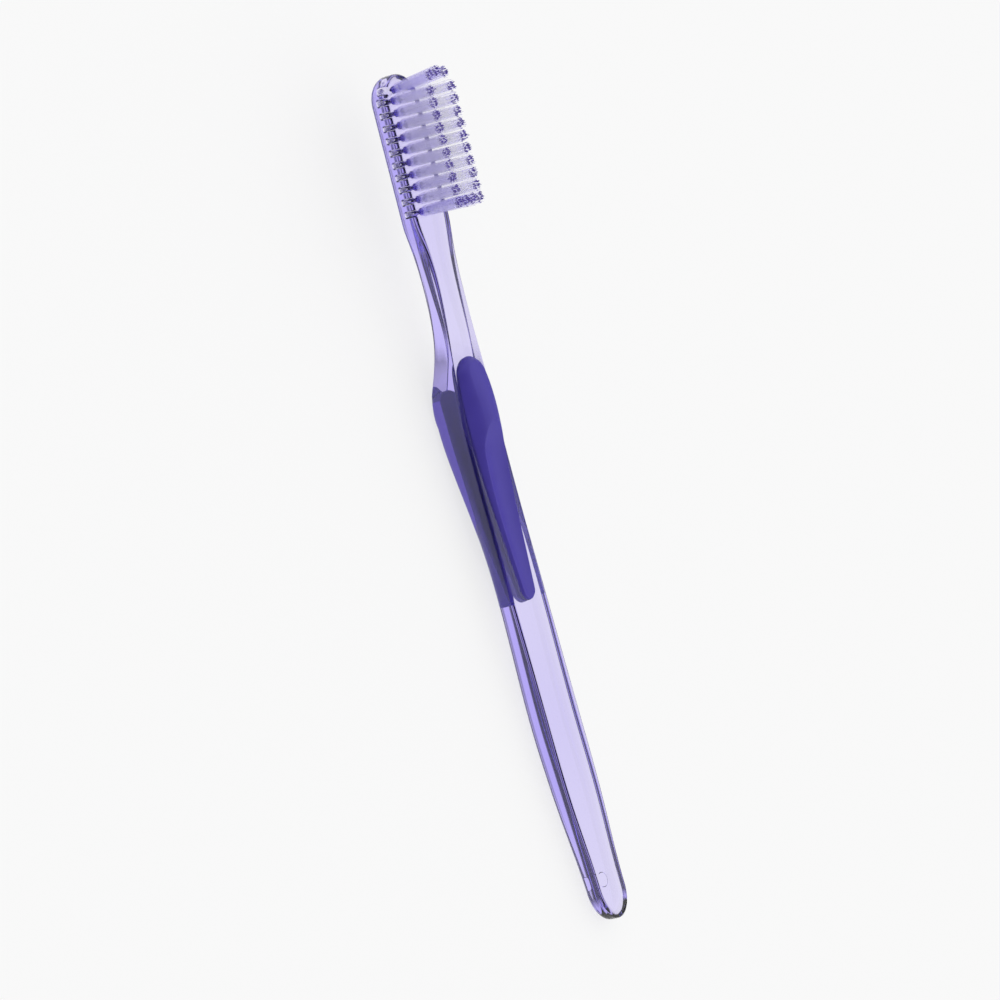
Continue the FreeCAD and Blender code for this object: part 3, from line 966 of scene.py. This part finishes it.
    # A filament on each root, fanned out from the middle of its tuft, a little astray and bent
    fan = vector_calc("SUBTRACT", position, attribute("mouth", "FLOAT_VECTOR"))
    roots = store(roots, "fan", "FLOAT_VECTOR", "POINT", fan)
    lean = vector_calc("ADD", axis, random_vector(given["Stray"], 1))
    cut_inputs = {"Min": calc("SUBTRACT", 1, given["Unevenness"]), "Max": 1.0, "Seed": given["Seed"]}
    cut = add_node(tree, "FunctionNodeRandomValue", {"data_type": "FLOAT"}, cut_inputs).outputs[1]
    size = add_node(tree, "ShaderNodeCombineXYZ", None, {"X": 1.0, "Y": 1.0, "Z": cut}).outputs[0]
    strand_inputs = {"Points": roots, "Instance": rod, "Rotation": aligned(lean), "Scale": size}
    strands = add_node(tree, "GeometryNodeInstanceOnPoints", None, strand_inputs).outputs[0]
    strands = store(strands, "bend", "FLOAT_VECTOR", "INSTANCE", random_vector(given["Bend"], 2))
    tone_inputs = {"Min": 0.0, "Max": 1.0, "Seed": given["Seed"]}
    tone = add_node(tree, "FunctionNodeRandomValue", {"data_type": "FLOAT"}, tone_inputs).outputs[1]
    strands = store(strands, "tone", "FLOAT", "INSTANCE", tone)
    bristles = add_node(tree, "GeometryNodeRealizeInstances", None, {"Geometry": strands}).outputs[0]
    free = calc("MAXIMUM", attribute("along", "FLOAT"), 0)
    sway = scaled(attribute("bend", "FLOAT_VECTOR"), calc("MULTIPLY", free, free))
    opened = calc("SUBTRACT", 1, calc("EXPONENT", calc("MULTIPLY", free, -flare_pace)))
    spread = scaled(attribute("fan", "FLOAT_VECTOR"), calc("MULTIPLY", opened, given["Bundle Flare"]))
    offset_inputs = {"Geometry": bristles, "Offset": vector_calc("ADD", sway, spread)}
    bristles = add_node(tree, "GeometryNodeSetPosition", None, offset_inputs).outputs[0]
    bristles = add_node(tree, "GeometryNodeSetShadeSmooth", None, {"Geometry": bristles}).outputs[0]
    finish_inputs = {"Geometry": bristles, "Material": given["Material"]}
    bristles = add_node(tree, "GeometryNodeSetMaterial", None, finish_inputs).outputs[0]
    add_node(tree, "NodeGroupOutput", None, {"Bristles": bristles})
    return tree


def nylon(
    name, foot_shade_colour, body_colour, tip_shade_colour, through_colour, clearness, tip_shade_clearness, deep_tint, pale_tint
):
    """Clear tinted nylon with painted shade at the foot, and painted dark tips in the middle of each tuft,
    which stand in for the deep colour seen down a filament's length.
    """
    material, out = new_material(name)
    tree = material.node_tree
    along = add_node(tree, "ShaderNodeAttribute", {"attribute_name": "along"}).outputs["Fac"]
    # Painted shade at the foot of each filament, fading to the body colour.
    ramp = add_node(tree, "ShaderNodeValToRGB", None, {"Fac": along})
    for stop, place, colour in zip(ramp.color_ramp.elements, foot_shade_stretch, (foot_shade_colour, body_colour)):
        stop.position, stop.color = place, colour
    fan = add_node(tree, "ShaderNodeAttribute", {"attribute_name": "fan"}).outputs["Vector"]
    from_middle = add_node(tree, "ShaderNodeVectorMath", {"operation": "LENGTH"}, {0: fan}).outputs["Value"]
    # Painted dark tips: full in the middle of the tuft, faint at its rim.
    core_inputs = {"Value": from_middle, "From Min": core_radius * mm, "From Max": bundle_radius * mm}
    core_inputs["To Min"], core_inputs["To Max"] = 1.0, rim_tip_shade_share
    core = add_node(tree, "ShaderNodeMapRange", None, core_inputs).outputs[0]
    tip_shade_inputs = {"Value": along, "To Max": core}
    tip_shade_inputs["From Min"], tip_shade_inputs["From Max"] = tip_shade_stretch
    tip_shade_share = add_node(tree, "ShaderNodeMapRange", None, tip_shade_inputs).outputs[0]
    tone = add_node(tree, "ShaderNodeAttribute", {"attribute_name": "tone"}).outputs["Fac"]
    body_inputs = {0: ramp.outputs[0], 1: mix_colour(tree, tone, deep_tint, pale_tint)}
    body = add_node(tree, "ShaderNodeVectorMath", {"operation": "MULTIPLY"}, body_inputs).outputs[0]
    streaks = noise(tree, own_place(tree), nylon_streak_scale, nylon_streak_detail)
    skin_inputs = {
        "Base Color": mix_colour(tree, tip_shade_share, body, tip_shade_colour),
        "Roughness": ranged(tree, streaks, nylon_roughness),
        "IOR": nylon_refraction,
    }
    skin = add_node(tree, "ShaderNodeBsdfPrincipled", None, skin_inputs).outputs[0]
    clear_share = ranged(tree, tip_shade_share, (clearness, tip_shade_clearness))
    through = add_node(tree, "ShaderNodeBsdfTransparent", None, {"Color": through_colour}).outputs[0]
    mix = add_node(tree, "ShaderNodeMixShader", None, {"Fac": clear_share, 1: skin, 2: through}).outputs[0]
    tree.links.new(mix, out.inputs["Surface"])
    return material


bristle_tree = make_bristle_tree()


def grow_bristles(name, nodes, material, seed):
    """One mesh of all the filaments of like tufts, which stands for their solids."""
    feet, directions = (np.array(rows) for rows in zip(*map(tuft_axis, nodes)))
    mouths = bpy.data.meshes.new(name)
    mouths.from_pydata(feet + directions * (hole_depth - foot_gap) * mm, [], [])
    axis = mouths.attributes.new("axis", "FLOAT_VECTOR", "POINT")
    axis.data.foreach_set("vector", directions.ravel().astype(np.float32))
    bristles = new_object(name, mouths)
    growth = bristles.modifiers.new("growth", "NODES")
    growth.node_group = bristle_tree
    values = {
        "Filament Count": filament_count,
        "Filament Radius": filament_radius * mm,
        "Filament Tip": filament_tip * mm,
        "Bundle Radius": bundle_radius * mm,
        "Bundle Flare": bundle_flare,
        "Plate Gap": plate_gap * mm,
        "Plate Turn": plate_turn,
        "Foot Depth": (hole_depth - filament_floor_gap) * mm,
        "Length": bristle_length * mm,
        "Unevenness": bristle_unevenness,
        "Stray": bristle_stray,
        "Bend": bristle_bend * mm,
        "Seed": seed,
        "Material": material,
    }
    for item in bristle_tree.interface.items_tree:
        if item.in_out == "INPUT" and item.name in values:
            growth[item.identifier] = values[item.name]
    grown = bristles.evaluated_get(bpy.context.evaluated_depsgraph_get())
    bristles.data = bpy.data.meshes.new_from_object(grown)
    bristles.modifiers.remove(growth)
    bpy.data.meshes.remove(mouths)
    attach(bristles, "root")
    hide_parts(*nodes)
    return bristles


white_nodes = [name for name in tuft_nodes if name.startswith("inner")]
violet_nodes = [name for name in tuft_nodes if not name.startswith("inner")]
violet_nylon = nylon(
    "violet_nylon",
    # The foot colour is painted shade where the filaments crowd into the hole.
    foot_shade_colour=(0.3, 0.22, 0.85, 1),
    body_colour=(1, 1, 1, 1),
    # The tip colour is a painted dark tip, for the deep colour seen down a filament end on.
    tip_shade_colour=(0.13, 0.08, 0.44, 1),
    through_colour=(0.986, 0.983, 1, 1),
    clearness=0.91,
    tip_shade_clearness=0.03,
    deep_tint=(0.66, 0.62, 1, 1),
    pale_tint=(0.96, 0.95, 1, 1),
)
white_nylon = nylon(
    "white_nylon",
    # A faint painted shade at the foot.
    foot_shade_colour=(0.9, 0.88, 1, 1),
    body_colour=(1, 1, 1, 1),
    tip_shade_colour=(1, 1, 1, 1),
    through_colour=(1, 1, 1, 1),
    clearness=0.93,
    tip_shade_clearness=0.91,
    deep_tint=(0.99, 0.99, 0.995, 1),
    pale_tint=(1, 1, 1, 1),
)
violet_bristles = grow_bristles("violet_bristles", violet_nodes, violet_nylon, violet_seed)
white_bristles = grow_bristles("white_bristles", white_nodes, white_nylon, white_seed)

# Anchors
# Small plates of plated brass, stamped from strip. Each is driven into its hole across the fold of the tuft,
# and wedges in the plastic on both sides. They are the solids themselves, with a metal finish.
plate_dark_colour = (0.78, 0.75, 0.7, 1)
plate_light_colour = (0.92, 0.89, 0.83, 1)
plate_roughness = (0.4, 0.6)
plate_grain_scale = 2500.0
plate_grain_detail = 2.0
plate_grain_strength = 0.2
plate_grain_depth = 0.02

plate_metal, plate_out = new_material("anchor_metal")
plate_tree = plate_metal.node_tree
plate_grain = noise(plate_tree, own_place(plate_tree), plate_grain_scale, plate_grain_detail)
plate_inputs = {
    "Base Color": mix_colour(plate_tree, plate_grain, plate_dark_colour, plate_light_colour),
    "Metallic": 1.0,
    "Roughness": ranged(plate_tree, plate_grain, plate_roughness),
    "Normal": relief(plate_tree, plate_grain, plate_grain_strength, plate_grain_depth),
}
plate_skin = add_node(plate_tree, "ShaderNodeBsdfPrincipled", None, plate_inputs)
plate_tree.links.new(plate_skin.outputs[0], plate_out.inputs["Surface"])
for name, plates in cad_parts.items():
    if name.startswith("anchors"):
        for slot in plates.material_slots:
            slot.material = plate_metal
